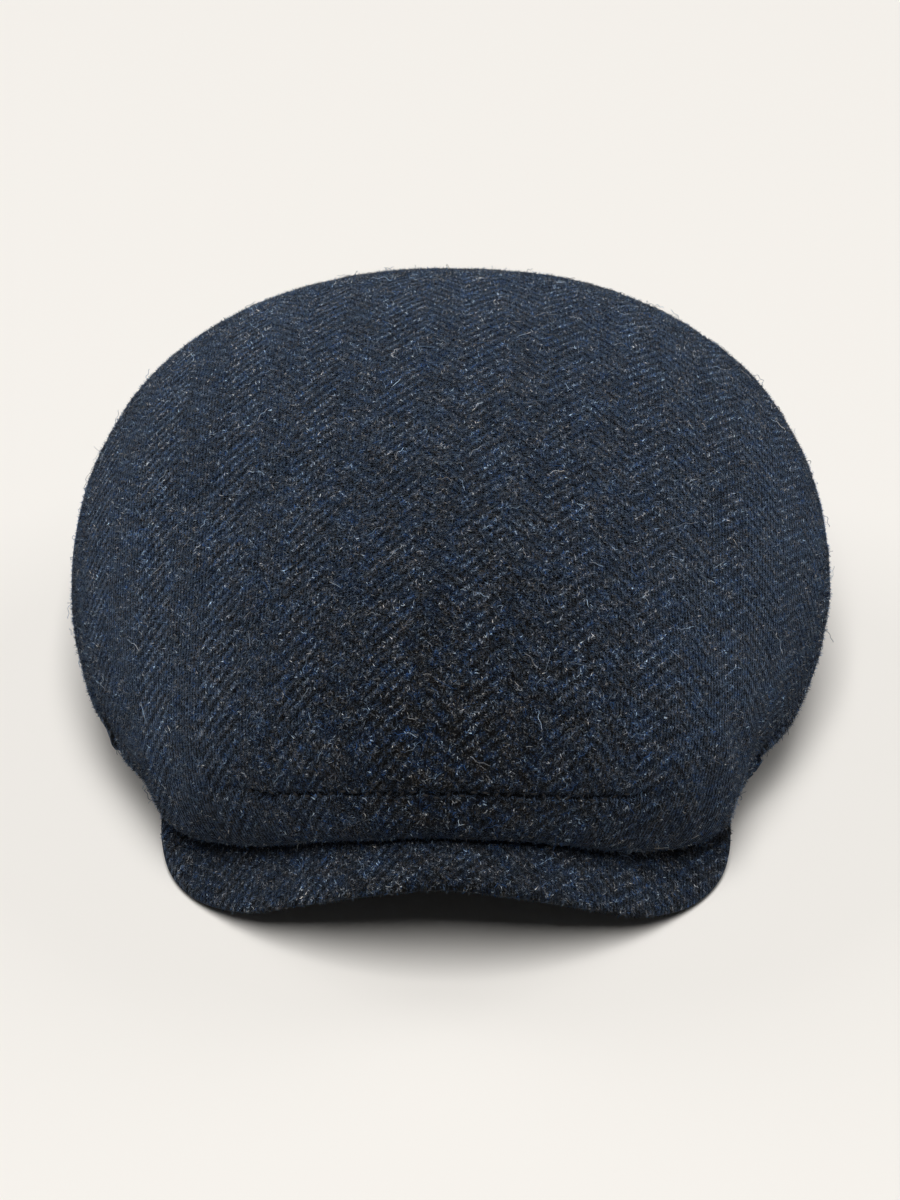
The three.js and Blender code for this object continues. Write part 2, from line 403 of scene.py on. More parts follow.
def front_profile(x):
    """Points down the front of the crown at x, as far as the fold."""
    core = Vector((x, 0, CORE_HEIGHT))
    profile = []
    for turn in np.arange(FIRST_TURN, LAST_TURN, TURN_STEP):
        place, normal, _, _ = skin.ray_cast(core, Vector((0, -math.sin(turn), math.cos(turn))))
        profile.append(place)
        if normal.z < FOLD_DOWN:
            break
    return profile


def stitch_point(x):
    """The point of the stitched line at x, and the fold below it."""
    profile = front_profile(x)
    rise = STITCH_RISE + STITCH_END_RISE * (x / STITCH_HALF) ** 2
    walked = 0
    for lower, upper in zip(profile[::-1], profile[-2::-1]):
        walked += (upper - lower).length
        if walked >= rise:
            return upper, profile[-1]
    raise ValueError("the front is too low for the stitched line")


skin = search_tree(top.data)
stations = np.arange(-STITCH_HALF, STITCH_HALF + LINE_STEP / 2, LINE_STEP)
stitch_path, fold_path = zip(*[stitch_point(x) for x in stations])
print("the line starts at", [round(c / MM) for c in stitch_path[0]], "and its middle is at",
      [round(c / MM) for c in stitch_path[len(stations) // 2]])

# %% [markdown]
# The puckers along the stitches are only a few millimetres wide. Another level of subdivision would make the
# whole sheet four times as heavy, so the sheet gets finer faces along the line alone. Then all three sheets
# are laid flat.

# %% Finer faces along the line
FINE_REACH = 6 * MM

bm = bmesh.new()
bm.from_mesh(top.data)
near = distance_to(places(top.data), stitch_path)
fine = [edge for edge in bm.edges if all(near[vert.index] < FINE_REACH for vert in edge.verts)]
bmesh.ops.subdivide_edges(bm, edges=fine, cuts=2, use_grid_fill=True)
for face in bm.faces:
    face.smooth = True
bm.to_mesh(top.data)
bm.free()
print("the finer top sheet has", len(top.data.polygons), "faces")

unfold(top, ACROSS, ALONG)
unfold(left, ALONG, UPWARDS)
unfold(right, ALONG, UPWARDS)

# %% [markdown]
# The peak is a stiff board in cloth, so it stays a closed solid, and the subdivision rounds its edge. It is
# nearly flat, so its pattern is laid out straight from above, a little larger because the peak slopes.

# %% Peak
PEAK_PATTERN = (1.08, 1.04)

peak = as_object(welded("peak"), "peak_cloth")
smooth(peak, LEVELS)
layer = peak.data.uv_layers.new(name="cloth")
layer.data.foreach_set("uv", (corner_places(peak.data)[:, :2] * PEAK_PATTERN).ravel())

# %% [markdown]
# Now the soft shapes of the cloth. They could be sculpted by hand, but nobody could repeat that, and a cloth
# simulation would move the outline. So each shape is a formula that says how far a vertex goes in. The first
# one is the seam: both panels turn inwards where they are sewn together.

# %% Rolled seams
SEAM_DEPTH = 1.2 * MM
SEAM_WIDTH = 3 * MM


def seam_roll(mesh, chosen=lambda place: True):
    """How far each vertex goes in because the cloth turns inwards at the edge."""
    return SEAM_DEPTH * (1 - smoothstep(edge_distance(mesh, chosen) / SEAM_WIDTH)) ** 2


points = places(top.data)
height = points[:, 2]
inwards = seam_roll(top.data)
print("the seam turns in by", round(inwards.max() / MM, 1), "mm")

# %% [markdown]
# The stitches over the peak pull the cloth into a narrow groove, deepest at each stitch, and the cloth
# between the groove and the fold puffs out. Both fade out towards the ends of the line.

# %% Groove of the stitches
STITCH_PITCH = 3.4 * MM
GROOVE_DEPTH = 1.9 * MM
GROOVE_WIDTH = 1.3 * MM
LINE_FADE = 16 * MM
PUFF_HEIGHT = 0.9 * MM
PUFF_ABOVE_FOLD = 4 * MM
PUFF_WIDTH = 5 * MM

from_line = distance_to(points, stitch_path)
from_fold = distance_to(points, fold_path)
end_fade = smoothstep((STITCH_HALF - np.abs(points[:, 0])) / LINE_FADE)
pull = 0.8 + 0.2 * np.cos(points[:, 0] / STITCH_PITCH * 2 * math.pi)
inwards += GROOVE_DEPTH * bump(from_line / GROOVE_WIDTH) * pull * end_fade
inwards -= PUFF_HEIGHT * bump((from_fold - PUFF_ABOVE_FOLD) / PUFF_WIDTH) * end_fade
print("the groove goes in by", round(inwards.max() / MM, 1), "mm")

# %% [markdown]
# At the right temple the slack cloth has fallen into a short upright fold with a low ridge in front of it.
# It is a path of a few chosen points in millimetres. Both front corners of the crown are a little sunk too.

# %% Temple fold and sunk corners
TEMPLE_FOLD = ((85, -74, 48), (88, -77, 38), (88, -80, 28))
TEMPLE_DEPTH = 2.5 * MM
TEMPLE_WIDTH = 6.5 * MM
TEMPLE_TOP = 52 * MM
TEMPLE_TOP_FADE = 14 * MM
TEMPLE_FOOT = 26 * MM
TEMPLE_FOOT_FADE = 8 * MM
RIDGE_SHIFT = Vector((-7, -4, 0)) * MM
RIDGE_HEIGHT = 1.2 * MM
RIDGE_WIDTH = 6 * MM
SUNK_CORNERS = (
    {"place": (94, -71, 24), "depth": 4.5, "width": 16},
    {"place": (-91, -76, 20), "depth": 2.2, "width": 12},
)


def spot_bump(points, place, width):
    """A bump round a place. Place and width are in millimetres."""
    return bump(np.linalg.norm(points - np.array(place) * MM, axis=1) / (width * MM))


fold_points = [Vector(a).lerp(Vector(b), t) * MM for a, b in zip(TEMPLE_FOLD, TEMPLE_FOLD[1:])
               for t in np.linspace(0, 1, 10)]
ridge_points = [point + RIDGE_SHIFT for point in fold_points]
fade = smoothstep((TEMPLE_TOP - height) / TEMPLE_TOP_FADE)
fade = fade * smoothstep((height - TEMPLE_FOOT) / TEMPLE_FOOT_FADE)
inwards += TEMPLE_DEPTH * bump(distance_to(points, fold_points) / TEMPLE_WIDTH) * fade
inwards -= RIDGE_HEIGHT * bump(distance_to(points, ridge_points) / RIDGE_WIDTH) * fade
inwards += sum(row["depth"] * MM * spot_bump(points, row["place"], row["width"]) for row in SUNK_CORNERS)
print("the skin goes in by up to", round(inwards.max() / MM, 1), "mm now")

# %% [markdown]
# The loose fibres that are strewn later are cut away by the stitches, and there are fewer on the lip under
# them.
# Each vertex carries a number for that, from nought to one. The wool shader also darkens its colour by the
# same number, so it paints shade deep in the stitched groove and on the lip under the fold. It is worked out
# before the cloth moves, because the distances belong to the smooth skin.

# %% Cover of loose fibres and painted shade
# The cover drops in the stitched groove and on the lip: fewer fibres there, and painted shade in the wool's
# colour.
GROOVE_COVER_AND_SHADE_DROP = 0.9
COVER_WIDTH = 2.2 * MM
LIP_SHADE = 0.3
LIP_TOP = 44 * MM
LIP_TOP_FADE = 12 * MM
LIP_FRONT = -85 * MM
LIP_FRONT_FADE = 10 * MM


def set_cover_and_painted_shade(mesh, cover):
    """Stores how thickly loose fibres cover each vertex, from nought to one; less cover also paints shade on
    the wool.
    """
    mesh.attributes.new("cover", "FLOAT", "POINT").data.foreach_set("value", cover)


on_lip = smoothstep((LIP_TOP - height) / LIP_TOP_FADE)
on_lip = on_lip * smoothstep((LIP_FRONT - points[:, 1]) / LIP_FRONT_FADE)
# Fibre cover, and painted shade: darker in the stitched groove and on the lip under the fold.
cover = 1 - GROOVE_COVER_AND_SHADE_DROP * bump(from_line / COVER_WIDTH) * end_fade - LIP_SHADE * on_lip
set_cover_and_painted_shade(top.data, cover)
for piece in (left, right, peak):
    set_cover_and_painted_shade(piece.data, np.ones(len(piece.data.vertices)))
print("least cover:", round(cover.min(), 2))

# %% [markdown]
# No cloth lies perfectly smooth, so wide and narrow waves make it uneven. The side panels get the same
# rolled seam and waves that fade out towards the hem, where the cap stands on the table.

# %% Uneven cloth
WAVE_HEIGHT = 0.5 * MM
WAVE_SIZE = 26 * MM
RIPPLE_HEIGHT = 0.25 * MM
RIPPLE_SIZE = 9 * MM
SIDE_WAVE_SIZE = 22 * MM
PEAK_WAVE_SIZE = 16 * MM
HEM_FADE = 8 * MM
HEM_TOP = 3 * MM

inwards -= WAVE_HEIGHT * waves(points, WAVE_SIZE, 1) + RIPPLE_HEIGHT * waves(points, RIPPLE_SIZE, 2)
move(top.data, inwards)
for panel in (left, right):
    points = places(panel.data)
    inwards = seam_roll(panel.data, lambda place: place.z > HEM_TOP)
    inwards -= WAVE_HEIGHT * waves(points, SIDE_WAVE_SIZE, 3) * smoothstep(points[:, 2] / HEM_FADE)
    move(panel.data, inwards)
move(peak.data, -RIPPLE_HEIGHT * waves(places(peak.data), PEAK_WAVE_SIZE, 4))
print("moved the vertices of", [o.name for o in (top, left, right, peak)])

# %% [markdown]
# At three spots the real outline is narrower than the solids'. The panels are squeezed from side to side
# there, all of them alike, so that the seams stay closed.

# %% Narrower spots
NARROWER = (
    {"place": (-103, -58, 21), "depth": 2.2},
    {"place": (97, -61, 22), "depth": 0.8},
    {"place": (88, -80, 20), "depth": 2.2},
)
NARROWER_WIDTH = 10
RIM_SQUEEZE = 1.2 * MM
RIM_START = 95 * MM
RIM_WIDTH = 20 * MM

for panel in (top, left, right):
    points = places(panel.data)
    squeeze = RIM_SQUEEZE * smoothstep((np.abs(points[:, 0]) - RIM_START) / RIM_WIDTH)
    for row in NARROWER:
        squeeze += row["depth"] * MM * spot_bump(points, row["place"], NARROWER_WIDTH)
    points[:, 0] -= np.sign(points[:, 0]) * squeeze
    panel.data.vertices.foreach_set("co", points.ravel())
    print(panel.name, "squeezed by up to", round(squeeze.max() / MM, 1), "mm")

# %% [markdown]
# The stitches are short dark dashes of thread that sink into the line. They could be drawn in the shader,
# but as real dashes they catch the light and stay sharp. Each is a small stretched ball, laid along the line
# on the pressed-in skin.

# %% Stitches
STITCH_LENGTH = 2.0 * MM
STITCH_THICK = 0.75 * MM
STITCH_MARGIN = 12 * MM
STITCH_PROUD = 0.1 * MM

pressed = search_tree(top.data)
bm = bmesh.new()
starts = np.arange(-STITCH_HALF + STITCH_MARGIN, STITCH_HALF - STITCH_MARGIN, STITCH_PITCH)
for x in starts:
    ends = [pressed.find_nearest(stitch_point(x + side * STITCH_LENGTH / 2)[0])[0] for side in (-1, 1)]
    middle, outwards = pressed.find_nearest((ends[0] + ends[1]) / 2)[:2]
    turn = (ends[1] - ends[0]).to_track_quat("X", "Z").to_matrix().to_4x4()
    size = Matrix.Diagonal((STITCH_LENGTH / 2, STITCH_THICK / 2, STITCH_THICK / 2, 1))
    bmesh.ops.create_uvsphere(bm, u_segments=8, v_segments=6, radius=1,
                              matrix=Matrix.Translation(middle + outwards * STITCH_PROUD) @ turn @ size)
stitches = as_object(bm, "stitches")
print("stitches:", len(starts))

# %% [markdown]
# Milled wool is covered with loose fibres. The shader can draw the ones that lie flat, but the ones that
# stand up make the soft outline, so they are modelled. Blender's hair would be lost in an exported mesh, so
# they are meshes. A few small shapes are made first: a bow, a hook, a wave, a curl and a long strand. Each
# is a three-sided ring that is spun along arcs.

# %% Curly fibre shapes
FIBRE_RADIUS = 0.075 * MM


def triangles(piece):
    """How many triangles a piece has."""
    return sum(len(polygon.vertices) - 2 for polygon in piece.data.polygons)


def arc(bm, ring, centre, axis, degrees, steps):
    """Spins a ring of edges round a centre and returns the ring at the far end."""
    result = bmesh.ops.spin(bm, geom=ring, cent=centre, axis=axis, angle=math.radians(degrees), steps=steps,
                            use_merge=False, use_duplicate=False)
    kinds = (bmesh.types.BMVert, bmesh.types.BMEdge)
    return [part for part in result["geom_last"] if isinstance(part, kinds)]


def fibre(name, rise, *arcs):
    """A thin curved tube that starts at the skin at an angle of rise degrees. Each arc gives its radius in
    millimetres, the side that it bends to, 1 for up and -1 for down, its degrees and its steps."""
    bm = bmesh.new()
    heading, place = math.radians(rise), Vector((0, 0, 0))
    turn = Matrix.Rotation(math.radians(90) - heading, 4, "Y")
    bmesh.ops.create_circle(bm, segments=3, radius=FIBRE_RADIUS, matrix=turn)
    ring = bm.verts[:] + bm.edges[:]
    for radius, side, degrees, steps in arcs:
        centre = place + Vector((-math.sin(heading), 0, math.cos(heading))) * (radius * MM) * side
        ring = arc(bm, ring, centre, (0, -side, 0), degrees, steps)
        heading += math.radians(degrees) * side
        place = sum((part.co for part in ring if isinstance(part, bmesh.types.BMVert)), Vector()) / 3
    bmesh.ops.holes_fill(bm, edges=[edge for edge in bm.edges if edge.is_boundary])
    bmesh.ops.recalc_face_normals(bm, faces=bm.faces)
    piece = as_object(bm, name)
    print(name, "has", triangles(piece), "triangles and is",
          round(piece.dimensions.x / MM, 2), "by", round(piece.dimensions.z / MM, 2), "mm")
    return piece


bow = fibre("fibre_bow", 32, (1.5, -1, 64, 2))
hook = fibre("fibre_hook", 60, (0.7, -1, 150, 3))
wave = fibre("fibre_wave", 40, (0.8, -1, 70, 2), (0.8, 1, 70, 2))
curl = fibre("fibre_curl", 10, (0.7, 1, 130, 3), (0.4, 1, 120, 3))
strand = fibre("fibre_strand", 5, (1.6, 1, 55, 2), (1.1, -1, 95, 3), (1.3, 1, 70, 2), (1.0, -1, 60, 2))

# %% [markdown]
# Most fibres are too short to curl. They number many thousands, so they have to be as light as possible: a
# slim cone with three sides is only four triangles.

# %% Short hair
HAIR_RADIUS = 0.18 * MM
HAIR_LENGTH = 1.15 * MM


def hair(name):
    """A short straight hair with a point, standing on the skin."""
    bm = bmesh.new()
    bmesh.ops.create_cone(bm, segments=3, radius1=HAIR_RADIUS, radius2=0, depth=HAIR_LENGTH, cap_ends=True,
                          matrix=Matrix.Translation((0, 0, HAIR_LENGTH / 2)))
    piece = as_object(bm, name)
    print(name, "has", triangles(piece), "triangles")
    return piece


straight = hair("fibre_hair")

# %% [markdown]
# The strewing of fibres and the materials are networks of many small nodes. Built by hand in the node
# editor, they would be hard to follow, so a small class adds the nodes, and each formula becomes a line.

# %% Node helpers
class Nodes:
    """Adds nodes to a node tree. Numbers are typed into sockets, and outputs of other nodes are linked."""

    def __init__(self, tree):
        self.tree = tree

    def add(self, kind, settings=None, **inputs):
        node = self.tree.nodes.new(kind)
        for key, value in (settings or {}).items():
            setattr(node, key, value)
        for key, value in inputs.items():
            self.plug(node.inputs[key.replace("_", " ")], value)
        return node

    def plug(self, socket, value):
        if isinstance(value, bpy.types.NodeSocket):
            self.tree.links.new(value, socket)
        else:
            socket.default_value = value

    def attribute(self, name):
        return self.add("ShaderNodeAttribute", {"attribute_name": name})

    def math(self, operation, *values, clamp=False):
        node = self.tree.nodes.new("ShaderNodeMath")
        node.operation = operation
        node.use_clamp = clamp
        for socket, value in zip(node.inputs, values):
            self.plug(socket, value)
        return node.outputs[0]

    def noise(self, vector, scale, detail=2.0, roughness=0.5, distortion=0.0, output="Fac"):
        node = self.add("ShaderNodeTexNoise", {"noise_dimensions": "2D"}, Vector=vector, Scale=scale,
                        Detail=detail, Roughness=roughness, Distortion=distortion)
        return node.outputs[output]

    def shift(self, vector, x, y):
        node = self.add("ShaderNodeVectorMath", {"operation": "ADD"})
        self.plug(node.inputs[0], vector)
        node.inputs[1].default_value = (x, y, 0)
        return node.outputs[0]

    def push(self, vector, colour, reach):
        """Moves a vector by a colour times reach."""
        node = self.add("ShaderNodeVectorMath", {"operation": "MULTIPLY_ADD"})
        self.plug(node.inputs[0], colour)
        node.inputs[1].default_value = reach
        self.plug(node.inputs[2], vector)
        return node.outputs[0]

    def point(self, x, y):
        return self.add("ShaderNodeCombineXYZ", X=x, Y=y).outputs[0]

    def grey(self, value):
        return self.add("ShaderNodeCombineColor", Red=value, Green=value, Blue=value).outputs[0]

    def fade(self, value, start, end, low=0, high=1):
        node = self.add("ShaderNodeMapRange", {"interpolation_type": "SMOOTHSTEP"}, Value=value)
        for socket, number in zip(node.inputs[1:5], (start, end, low, high)):
            self.plug(socket, number)
        return node.outputs[0]

    def mix(self, factor, a, b, blend="MIX"):
        node = self.tree.nodes.new("ShaderNodeMix")
        node.data_type = "RGBA"
        node.blend_type = blend
        for index, value in ((0, factor), (6, a), (7, b)):
            self.plug(node.inputs[index], value)
        return node.outputs[2]

    def ramp(self, factor, stops, kind="LINEAR"):
        node = self.add("ShaderNodeValToRGB", Fac=factor)
        ramp = node.color_ramp
        ramp.interpolation = kind
        while len(ramp.elements) < len(stops):
            ramp.elements.new(0.5)
        for element, (position, colour) in zip(ramp.elements, stops):
            element.position = position
            element.color = (*colour, 1)
        return node.outputs["Color"]


def new_wool(name):
    """A new material, the helper that adds its nodes, and its shader."""
    material = bpy.data.materials.new(name)
    material.use_nodes = True
    return material, Nodes(material.node_tree), material.node_tree.nodes["Principled BSDF"]


# %% [markdown]
# Placing each fibre in a Python loop would be slow, so Geometry Nodes strew them over a sheet. The fibre
# cover number thins them out. Each copy is stood on the skin, turned at random, leant over and stretched a
# little. It carries a number named shade that picks its colour, and the skin's own direction, named nap.

# %% Strewing fibres
CLEAR_OF_TABLE = 5 * MM
ROLL = math.radians(85)


def strew(name, sheet, shapes, per_mm2, seed, lean, size, material):
    """A new piece of loose fibres on a sheet. lean is the greatest tilt in degrees, size the scale range."""
    group = bpy.data.node_groups.new(name, "GeometryNodeTree")
    group.interface.new_socket("Geometry", in_out="OUTPUT", socket_type="NodeSocketGeometry")
    n = Nodes(group)

    def random(kind, low, high, number):
        """A random value for each copy. number keeps the draws apart."""
        node = n.add("FunctionNodeRandomValue", {"data_type": kind}, Seed=seed * 10 + number)
        which = {"FLOAT_VECTOR": 0, "FLOAT": 1, "INT": 2}[kind]
        n.plug(node.inputs[which * 2], low)
        n.plug(node.inputs[which * 2 + 1], high)
        return node.outputs[which]

    def store(geometry, kind, domain, attribute, value):
        """Stores a value under an attribute's name."""
        return n.add("GeometryNodeStoreNamedAttribute", {"data_type": kind, "domain": domain},
                     Geometry=geometry, Name=attribute, Value=value).outputs[0]

    def turned_by(rotation, low, high, number):
        """A rotation, turned further by random angles in its own space."""
        angles = n.add("FunctionNodeEulerToRotation")
        n.plug(angles.inputs[0], random("FLOAT_VECTOR", low, high, number))
        return n.add("FunctionNodeRotateRotation", {"rotation_space": "LOCAL"},
                     Rotation=rotation, Rotate_By=angles.outputs[0]).outputs[0]

    place = n.add("GeometryNodeInputPosition").outputs[0]
    rise = n.add("ShaderNodeSeparateXYZ", Vector=place).outputs["Z"]
    clear = n.add("FunctionNodeCompare", A=rise, B=CLEAR_OF_TABLE).outputs[0]
    cover = n.add("GeometryNodeInputNamedAttribute", Name="cover").outputs["Attribute"]
    amount = n.math("MULTIPLY", cover, per_mm2 / MM ** 2)
    skin = n.add("GeometryNodeObjectInfo", Object=sheet).outputs["Geometry"]
    spread = n.add("GeometryNodeDistributePointsOnFaces", Mesh=skin, Selection=clear, Density=amount,
                   Seed=seed)
    choice = n.add("GeometryNodeJoinGeometry")
    for shape in reversed(shapes):
        info = n.add("GeometryNodeObjectInfo", Object=shape, As_Instance=True)
        n.plug(choice.inputs[0], info.outputs["Geometry"])

    tilt = math.radians(lean)
    rotation = turned_by(spread.outputs["Rotation"], (0, 0, -math.pi), (0, 0, math.pi), 1)
    rotation = turned_by(rotation, (-ROLL, -tilt, 0), (ROLL, tilt * 0.2, 0), 2)
    small, large = (size[0], size[0], size[0]), (size[1], size[1] * 0.8, size[1])
    napped = store(spread.outputs["Points"], "FLOAT_VECTOR", "POINT", "nap", spread.outputs["Normal"])
    strewn = n.add("GeometryNodeInstanceOnPoints", Points=napped, Instance=choice.outputs[0],
                   Pick_Instance=True, Instance_Index=random("INT", 0, len(shapes) * 8, 3),
                   Rotation=rotation, Scale=random("FLOAT_VECTOR", small, large, 4)).outputs[0]
    shaded = store(strewn, "FLOAT", "INSTANCE", "shade", random("FLOAT", 0, 1, 5))
    real = n.add("GeometryNodeRealizeInstances", Geometry=shaded).outputs[0]
    n.plug(n.add("NodeGroupOutput").inputs[0], real)

    piece = bpy.data.objects.new(name, bpy.data.meshes.new(name))
    bpy.context.scene.collection.objects.link(piece)
    piece.modifiers.new("strew", "NODES").node_group = group
    bake_modifiers(piece)
    piece.data.materials.clear()
    piece.data.materials.append(material)
    print(name, "has", triangles(piece), "triangles")
    return piece


# %% [markdown]
# Real yarn is spun from wool of several colours, so the cloth shows brighter, darker, bluer and browner
# patches, which is called heather. One noise sets how bright and another how blue each patch is. Both are in
# the frame's own space, so the cloth and the loose fibres on it share their patches.

# %% Heather
PATCHES_PER_METRE = 200
PATCH_LIGHT = (0.65, 1.4)


def heather(n):
    """How bright the wool is in each patch, and how blue, from nought to one."""
    spot = n.add("ShaderNodeTexCoord").outputs["Object"]
    parts = []
    for seed, (low, high) in enumerate((PATCH_LIGHT, (0, 1))):
        node = n.add("ShaderNodeTexNoise", Vector=n.shift(spot, seed * 0.3, seed * 0.7),
                     Scale=PATCHES_PER_METRE, Detail=2.0, Roughness=0.6)
        parts.append(n.fade(node.outputs["Fac"], 0.37, 0.63, low, high))
    return parts


# %% [markdown]
# The cloth is a herringbone: threads go over two and under two, each row one step aside from the last, so
# slanting ribs appear, and the slant turns round every twelve threads. A picture of cloth would repeat and
# blur, so formulas draw the weave. The UV map counts in metres, so it is divided by the thread size to count
# in threads, and a noise lets the threads wander a little.

# %% Counting threads
THREAD = 1.03 * MM
STRIPE_SHIFT = -3.5
WANDER = (0.6, 0.9, 0)
WANDER_SCALE = 0.4


def count_threads(n, metres):
    """Turns a place on the flat pattern from metres into threads."""
    scaled = n.add("ShaderNodeVectorMath", {"operation": "SCALE"}, Scale=1 / THREAD)
    n.plug(scaled.inputs[0], metres)
    threads = n.shift(scaled.outputs[0], STRIPE_SHIFT, 0)
    return n.push(threads, n.noise(threads, WANDER_SCALE, output="Color"), WANDER)


# %% [markdown]
# In each cell of the weave either the lengthwise thread lies on top or the crosswise one does. The row
# number plus or minus the column number, counted modulo four, decides it. The same number tells how far
# along its float a thread is, so the thread can be rounded there.

# %% Weave formula
STRIPE = 12


def weave(n, threads):
    """Returns the parts of the weave: the place in threads and its column and row, whether the lengthwise
    thread is on top, the thread's height, and the slanting ribs and the grooves between the lengthwise
    threads as waves between -1 and 1."""
    split = n.add("ShaderNodeSeparateXYZ", Vector=threads)
    across, along = split.outputs["X"], split.outputs["Y"]
    column, row = n.math("FLOOR", across), n.math("FLOOR", along)
    part_across, part_along = n.math("FRACT", across), n.math("FRACT", along)
    stripe = n.math("FLOORED_MODULO", n.math("FLOOR", n.math("DIVIDE", across, STRIPE)), 2)
    slant = n.math("SUBTRACT", n.math("MULTIPLY", stripe, 2), 1)
    step = n.math("FLOORED_MODULO", n.math("MULTIPLY_ADD", column, slant, row), 4)
    lengthwise = n.math("LESS_THAN", step, 1.5)

    def round_off(part):
        """A low arch over a part that runs from nought to one."""
        side = n.math("MULTIPLY", part, n.math("SUBTRACT", 1, part))
        return n.math("POWER", n.math("MULTIPLY", side, 4, clamp=True), 0.5)

    float_along = n.math("DIVIDE", n.math("ADD", step, part_along), 2)
    flipped = n.math("MULTIPLY_ADD", n.math("SUBTRACT", part_across, 0.5), slant, 0.5)
    float_across = n.math("DIVIDE", n.math("ADD", n.math("SUBTRACT", step, 2), flipped), 2)
    rib = n.math("COSINE", n.math("MULTIPLY", n.math("MULTIPLY_ADD", across, slant, along), math.pi / 2))
    comb = n.math("COSINE", n.math("MULTIPLY", across, 2 * math.pi))
    over = n.math("MULTIPLY", round_off(part_across), round_off(float_along))
    under = n.math("MULTIPLY", round_off(part_along), round_off(float_across))
    height = n.math("ADD", n.math("MULTIPLY", over, lengthwise),
                    n.math("MULTIPLY", under, n.math("SUBTRACT", 1, lengthwise)))
    return SimpleNamespace(across=across, along=along, column=column, row=row, lengthwise=lengthwise,
                           height=height, rib=rib, comb=comb)


# %% [markdown]
# About a quarter of the loose fibres are nearly black. The others are blue, brown, grey or nearly white. One
# colour for all would look like dust, so the number that each copy carries picks its colour. Fibres grow out
# of the threads under them, so they are brighter over the lengthwise threads, and they carry the same painted
# light on the ribs as the cloth. They are shaded with the skin's direction, as matted wool is, and a sheen at
# grazing angles brightens the cap's rim.

# %% Material of the loose fibres
FIBRE_COLOURS = [(0.0, (0.006, 0.009, 0.016)), (0.28, (0.022, 0.055, 0.135)), (0.48, (0.066, 0.062, 0.058)),
                 (0.6, (0.105, 0.132, 0.168)), (0.82, (0.26, 0.285, 0.32)), (0.96, (0.46, 0.47, 0.48))]
BROWNER = (1.1, 1.02, 0.93, 1)
BLUER = (0.8, 1.02, 1.22, 1)
SHEEN_ROUGHNESS = 0.13
SHEEN_TINT = (0.45, 0.65, 1.0, 1)


def give_sheen(shader, weight):
    """The soft bluish shine of wool at grazing angles."""
    shader.inputs["Sheen Weight"].default_value = weight
    shader.inputs["Sheen Roughness"].default_value = SHEEN_ROUGHNESS
    shader.inputs["Sheen Tint"].default_value = SHEEN_TINT


fibre_wool, n, shader = new_wool("wool_fibres")
colour = n.ramp(n.attribute("shade").outputs["Fac"], FIBRE_COLOURS, "CONSTANT")
tone, hue = heather(n)
colour = n.mix(1.0, colour, n.mix(hue, BROWNER, BLUER), "MULTIPLY")
cloth = weave(n, count_threads(n, n.attribute("cloth").outputs["Vector"]))
# Painted light on the slanting ribs, as on the cloth under the fibres.
tone = n.math("MULTIPLY", tone, n.math("MULTIPLY_ADD", cloth.rib, 0.5, 1))
tone = n.math("MULTIPLY", tone, n.math("MULTIPLY_ADD", cloth.lengthwise, 0.9, 0.6))
n.plug(shader.inputs["Base Color"], n.mix(1.0, colour, n.grey(tone), "MULTIPLY"))
n.plug(shader.inputs["Normal"], n.attribute("nap").outputs["Vector"])
shader.inputs["Roughness"].default_value = 0.8
shader.inputs["Specular IOR Level"].default_value = 0.2
give_sheen(shader, 0.8)
print("nodes in the fibre shader:", len(fibre_wool.node_tree.nodes))

# %% [markdown]
# The fibres are strewn now, while the sheets are still single, so none lands on the inside. The crown's
# short hair comes in three pieces, because one piece would be too heavy a mesh.

# %% Loose fibres
HAIR = {"shapes": [straight], "lean": 60, "size": (0.4, 1.2), "material": fibre_wool}
SHORT_CURLS = {"shapes": [bow, hook, wave], "lean": 20, "material": fibre_wool}
LONG_CURLS = {"shapes": [bow, hook, wave] * 2 + [bow, curl], "lean": 12, "material": fibre_wool}
STRANDS = {"shapes": [strand], "lean": 2, "material": fibre_wool}

fuzz = [
    strew("fuzz_top_hair", top, per_mm2=0.55, seed=1, **HAIR),
    strew("fuzz_top_hair_more", top, per_mm2=0.55, seed=8, **HAIR),
    strew("fuzz_top_hair_last", top, per_mm2=0.55, seed=12, **HAIR),
    strew("fuzz_top_curly", top, per_mm2=0.085, seed=2, size=(0.5, 1.5), **LONG_CURLS),
    strew("fuzz_top_strands", top, per_mm2=0.012, seed=6, size=(0.7, 1.3), **STRANDS),
    strew("fuzz_left_hair", left, per_mm2=1.6, seed=3, **HAIR),
    strew("fuzz_left_curly", left, per_mm2=0.08, seed=9, size=(0.4, 1.2), **SHORT_CURLS),
    strew("fuzz_right_hair", right, per_mm2=1.6, seed=4, **HAIR),
    strew("fuzz_right_curly", right, per_mm2=0.08, seed=10, size=(0.4, 1.2), **SHORT_CURLS),
    strew("fuzz_peak_hair", peak, per_mm2=1.3, seed=5, **HAIR),
    strew("fuzz_peak_curly", peak, per_mm2=0.12, seed=11, size=(0.35, 1.2), **SHORT_CURLS),
]
for shape in (bow, hook, wave, curl, strand, straight):
    bpy.data.objects.remove(shape)
print("triangles in all the loose fibres:", sum(triangles(piece) for piece in fuzz))

# %% [markdown]
# The sheets get the thickness of the cloth back. It could be pulled out by hand, but a Solidify modifier
# keeps it even, and it grows to the inside, so the outline stays.

# %% Thickness
CLOTH = 2.2 * MM

for panel in (top, left, right):
    modifier = panel.modifiers.new("thickness", "SOLIDIFY")
    modifier.thickness = CLOTH
    modifier.offset = -1
    bake_modifiers(panel)
    print(panel.name, "has", len(panel.data.polygons), "faces")

# %% [markdown]
# The lengthwise threads are spun from blue and grey wool and the crosswise ones are nearly black. Plain
# colours would look printed, so each thread changes colour slowly along itself, and the gaps between the
# threads get painted shade.

